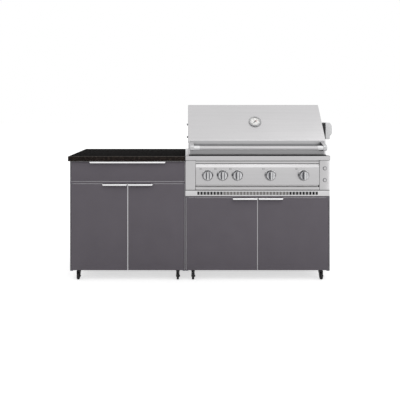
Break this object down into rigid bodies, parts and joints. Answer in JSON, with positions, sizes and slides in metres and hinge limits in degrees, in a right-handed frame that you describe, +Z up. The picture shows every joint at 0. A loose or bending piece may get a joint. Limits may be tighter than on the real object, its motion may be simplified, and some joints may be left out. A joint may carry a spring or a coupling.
{
  "type": "outdoor kitchen island",
  "caption": "Outdoor kitchen island on casters: drawer cabinet with a stone top beside a hooded gas grill with control knobs and rotisserie motor over a door cabinet.",
  "frame": {"origin": "on the floor under the middle of the island's bounding box", "axes": "+X to the viewer's right along the fronts, +Y from the fronts to the back, +Z up"},
  "size_m": [1.9208, 0.652, 1.238],
  "materials": {
    "slate_board": "weatherproof polymer board, slate, fine satin texture",
    "satin_aluminium": "satin anodised",
    "bright_aluminium": "bright anodised",
    "zinc_steel": "zinc plated, dull",
    "stainless": "stainless, long brushed grain",
    "polished_steel": "polished",
    "black_stone": "black granite, honed with fine speckle",
    "black_caster": "black nylon",
    "black_rubber": "black tread",
    "motor_black": "fine spark-eroded texture",
    "motor_grey": "pale grey moulding",
    "cast_grate": "seasoned black",
    "brass": "turned",
    "dial_black": "gloss black",
    "dial_white": "satin white"
  },
  "bodies": {
    "island": {"left_carcass": "slate_board", "right_carcass": "slate_board", "left_shelf": "slate_board", "left_stop_frame": "satin_aluminium", "right_stop_frame": "satin_aluminium", "pivot_brackets": "zinc_steel", "drawer_runners": "zinc_steel", "countertop": "black_stone", "caster_plates": "zinc_steel", "grill_deck": "stainless", "grill_front": "stainless", "control_panel": "stainless", "control_bezels": "polished_steel", "firebox": "stainless", "cooking_grates": "cast_grate", "flame_tamers": "stainless", "burners": "stainless", "gas_manifold": "brass", "side_cheeks": "stainless", "bracket_screws": "polished_steel", "motor_gearcase": "motor_black", "motor_cover": "motor_grey"},
    "drawer": {"drawer_slides": "zinc_steel", "drawer_box": "slate_board", "drawer_front": "slate_board", "drawer_pull": "bright_aluminium"},
    "left_outer_leaf": {"left_outer_door": "slate_board", "left_outer_pull": "bright_aluminium"},
    "left_inner_leaf": {"left_inner_door": "slate_board", "left_inner_pull": "bright_aluminium"},
    "right_inner_leaf": {"right_inner_door": "slate_board", "right_inner_pull": "bright_aluminium"},
    "right_outer_leaf": {"right_outer_door": "slate_board", "right_outer_pull": "bright_aluminium"},
    "hood_group": {"hood": "stainless", "hood_handle": "stainless", "handle_brackets": "polished_steel", "thermometer": "dial_white"},
    "needle": {"thermometer_needle": "dial_black"},
    "tray": {"drip_tray": "stainless"},
    "chuck": {"motor_chuck": "polished_steel"},
    "fork_1": {"front_fork_1": "black_caster"},
    "front_roller_1": {"front_wheel_1": "black_rubber"},
    "rear_roller_1": {"rear_wheel_1": "black_rubber"},
    "fork_2": {"front_fork_2": "black_caster"},
    "front_roller_2": {"front_wheel_2": "black_rubber"},
    "rear_roller_2": {"rear_wheel_2": "black_rubber"},
    "fork_3": {"front_fork_3": "black_caster"},
    "front_roller_3": {"front_wheel_3": "black_rubber"},
    "rear_roller_3": {"rear_wheel_3": "black_rubber"},
    "fork_4": {"front_fork_4": "black_caster"},
    "front_roller_4": {"front_wheel_4": "black_rubber"},
    "rear_roller_4": {"rear_wheel_4": "black_rubber"},
    "control_1": {"knob_1": "polished_steel"},
    "control_2": {"knob_2": "polished_steel"},
    "control_3": {"knob_3": "polished_steel"},
    "control_4": {"knob_4": "polished_steel"},
    "control_5": {"knob_5": "polished_steel"},
    "button_1": {"push_button_1": "polished_steel"},
    "button_2": {"push_button_2": "polished_steel"}
  },
  "joints": [
    {"name": "drawer_slide", "type": "slide", "parent": "island", "child": "drawer", "axis": [0, -1, 0], "range_m": [0, 0.35]},
    {"name": "left_outer_hinge", "type": "hinge", "parent": "island", "child": "left_outer_leaf", "pos_m": [-0.93385, -0.263, 0.3], "axis": [0, 0, -1], "range_deg": [0, 110]},
    {"name": "left_inner_hinge", "type": "hinge", "parent": "island", "child": "left_inner_leaf", "pos_m": [-0.15105, -0.263, 0.3], "axis": [0, 0, 1], "range_deg": [0, 88]},
    {"name": "right_inner_hinge", "type": "hinge", "parent": "island", "child": "right_inner_leaf", "pos_m": [-0.12105, -0.263, 0.3], "axis": [0, 0, -1], "range_deg": [0, 88]},
    {"name": "right_outer_hinge", "type": "hinge", "parent": "island", "child": "right_outer_leaf", "pos_m": [0.86495, -0.263, 0.3], "axis": [0, 0, 1], "range_deg": [0, 110]},
    {"name": "hood_hinge", "type": "hinge", "parent": "island", "child": "hood_group", "pos_m": [0.37195, 0.247, 0.915], "axis": [-1, 0, 0], "range_deg": [0, 80]},
    {"name": "needle_turn", "type": "hinge", "parent": "hood_group", "child": "needle", "pos_m": [0.37195, -0.13766, 1.11319], "axis": [0, 0.7845, -0.6201], "range_deg": [0, 250]},
    {"name": "tray_slide", "type": "slide", "parent": "island", "child": "tray", "axis": [0, -1, 0], "range_m": [0, 0.3]},
    {"name": "chuck_spin", "type": "hinge", "parent": "island", "child": "chuck", "pos_m": [0.85345, -0.019, 1.043], "axis": [1, 0, 0], "continuous": true},
    {"name": "knob_turn_1", "type": "hinge", "parent": "island", "child": "control_1", "pos_m": [0.01994, -0.267, 0.743], "axis": [0, -1, 0], "range_deg": [0, 225]},
    {"name": "knob_turn_2", "type": "hinge", "parent": "island", "child": "control_2", "pos_m": [0.12445, -0.267, 0.743], "axis": [0, -1, 0], "range_deg": [0, 225]},
    {"name": "knob_turn_3", "type": "hinge", "parent": "island", "child": "control_3", "pos_m": [0.22895, -0.267, 0.743], "axis": [0, -1, 0], "range_deg": [0, 225]},
    {"name": "knob_turn_4", "type": "hinge", "parent": "island", "child": "control_4", "pos_m": [0.46134, -0.267, 0.743], "axis": [0, -1, 0], "range_deg": [0, 225]},
    {"name": "knob_turn_5", "type": "hinge", "parent": "island", "child": "control_5", "pos_m": [0.69526, -0.267, 0.743], "axis": [0, -1, 0], "range_deg": [0, 225]},
    {"name": "button_press_1", "type": "slide", "parent": "island", "child": "button_1", "axis": [0, 1, 0], "range_m": [0, 0.004], "stiffness_N_per_m": 300},
    {"name": "button_press_2", "type": "slide", "parent": "island", "child": "button_2", "axis": [0, 1, 0], "range_m": [0, 0.004], "stiffness_N_per_m": 300},
    {"name": "swivel_1", "type": "hinge", "parent": "island", "child": "fork_1", "pos_m": [-0.89485, -0.222, 0.06], "axis": [0, 0, 1], "continuous": true},
    {"name": "front_roll_1", "type": "hinge", "parent": "fork_1", "child": "front_roller_1", "pos_m": [-0.89485, -0.242, 0.025], "axis": [1, 0, 0], "continuous": true},
    {"name": "rear_roll_1", "type": "hinge", "parent": "island", "child": "rear_roller_1", "pos_m": [-0.89485, 0.264, 0.025], "axis": [1, 0, 0], "continuous": true},
    {"name": "swivel_2", "type": "hinge", "parent": "island", "child": "fork_2", "pos_m": [-0.19005, -0.222, 0.06], "axis": [0, 0, 1], "continuous": true},
    {"name": "front_roll_2", "type": "hinge", "parent": "fork_2", "child": "front_roller_2", "pos_m": [-0.19005, -0.242, 0.025], "axis": [1, 0, 0], "continuous": true},
    {"name": "rear_roll_2", "type": "hinge", "parent": "island", "child": "rear_roller_2", "pos_m": [-0.19005, 0.264, 0.025], "axis": [1, 0, 0], "continuous": true},
    {"name": "swivel_3", "type": "hinge", "parent": "island", "child": "fork_3", "pos_m": [-0.08205, -0.222, 0.06], "axis": [0, 0, 1], "continuous": true},
    {"name": "front_roll_3", "type": "hinge", "parent": "fork_3", "child": "front_roller_3", "pos_m": [-0.08205, -0.242, 0.025], "axis": [1, 0, 0], "continuous": true},
    {"name": "rear_roll_3", "type": "hinge", "parent": "island", "child": "rear_roller_3", "pos_m": [-0.08205, 0.264, 0.025], "axis": [1, 0, 0], "continuous": true},
    {"name": "swivel_4", "type": "hinge", "parent": "island", "child": "fork_4", "pos_m": [0.82595, -0.222, 0.06], "axis": [0, 0, 1], "continuous": true},
    {"name": "front_roll_4", "type": "hinge", "parent": "fork_4", "child": "front_roller_4", "pos_m": [0.82595, -0.242, 0.025], "axis": [1, 0, 0], "continuous": true},
    {"name": "rear_roll_4", "type": "hinge", "parent": "island", "child": "rear_roller_4", "pos_m": [0.82595, 0.264, 0.025], "axis": [1, 0, 0], "continuous": true}
  ]
}
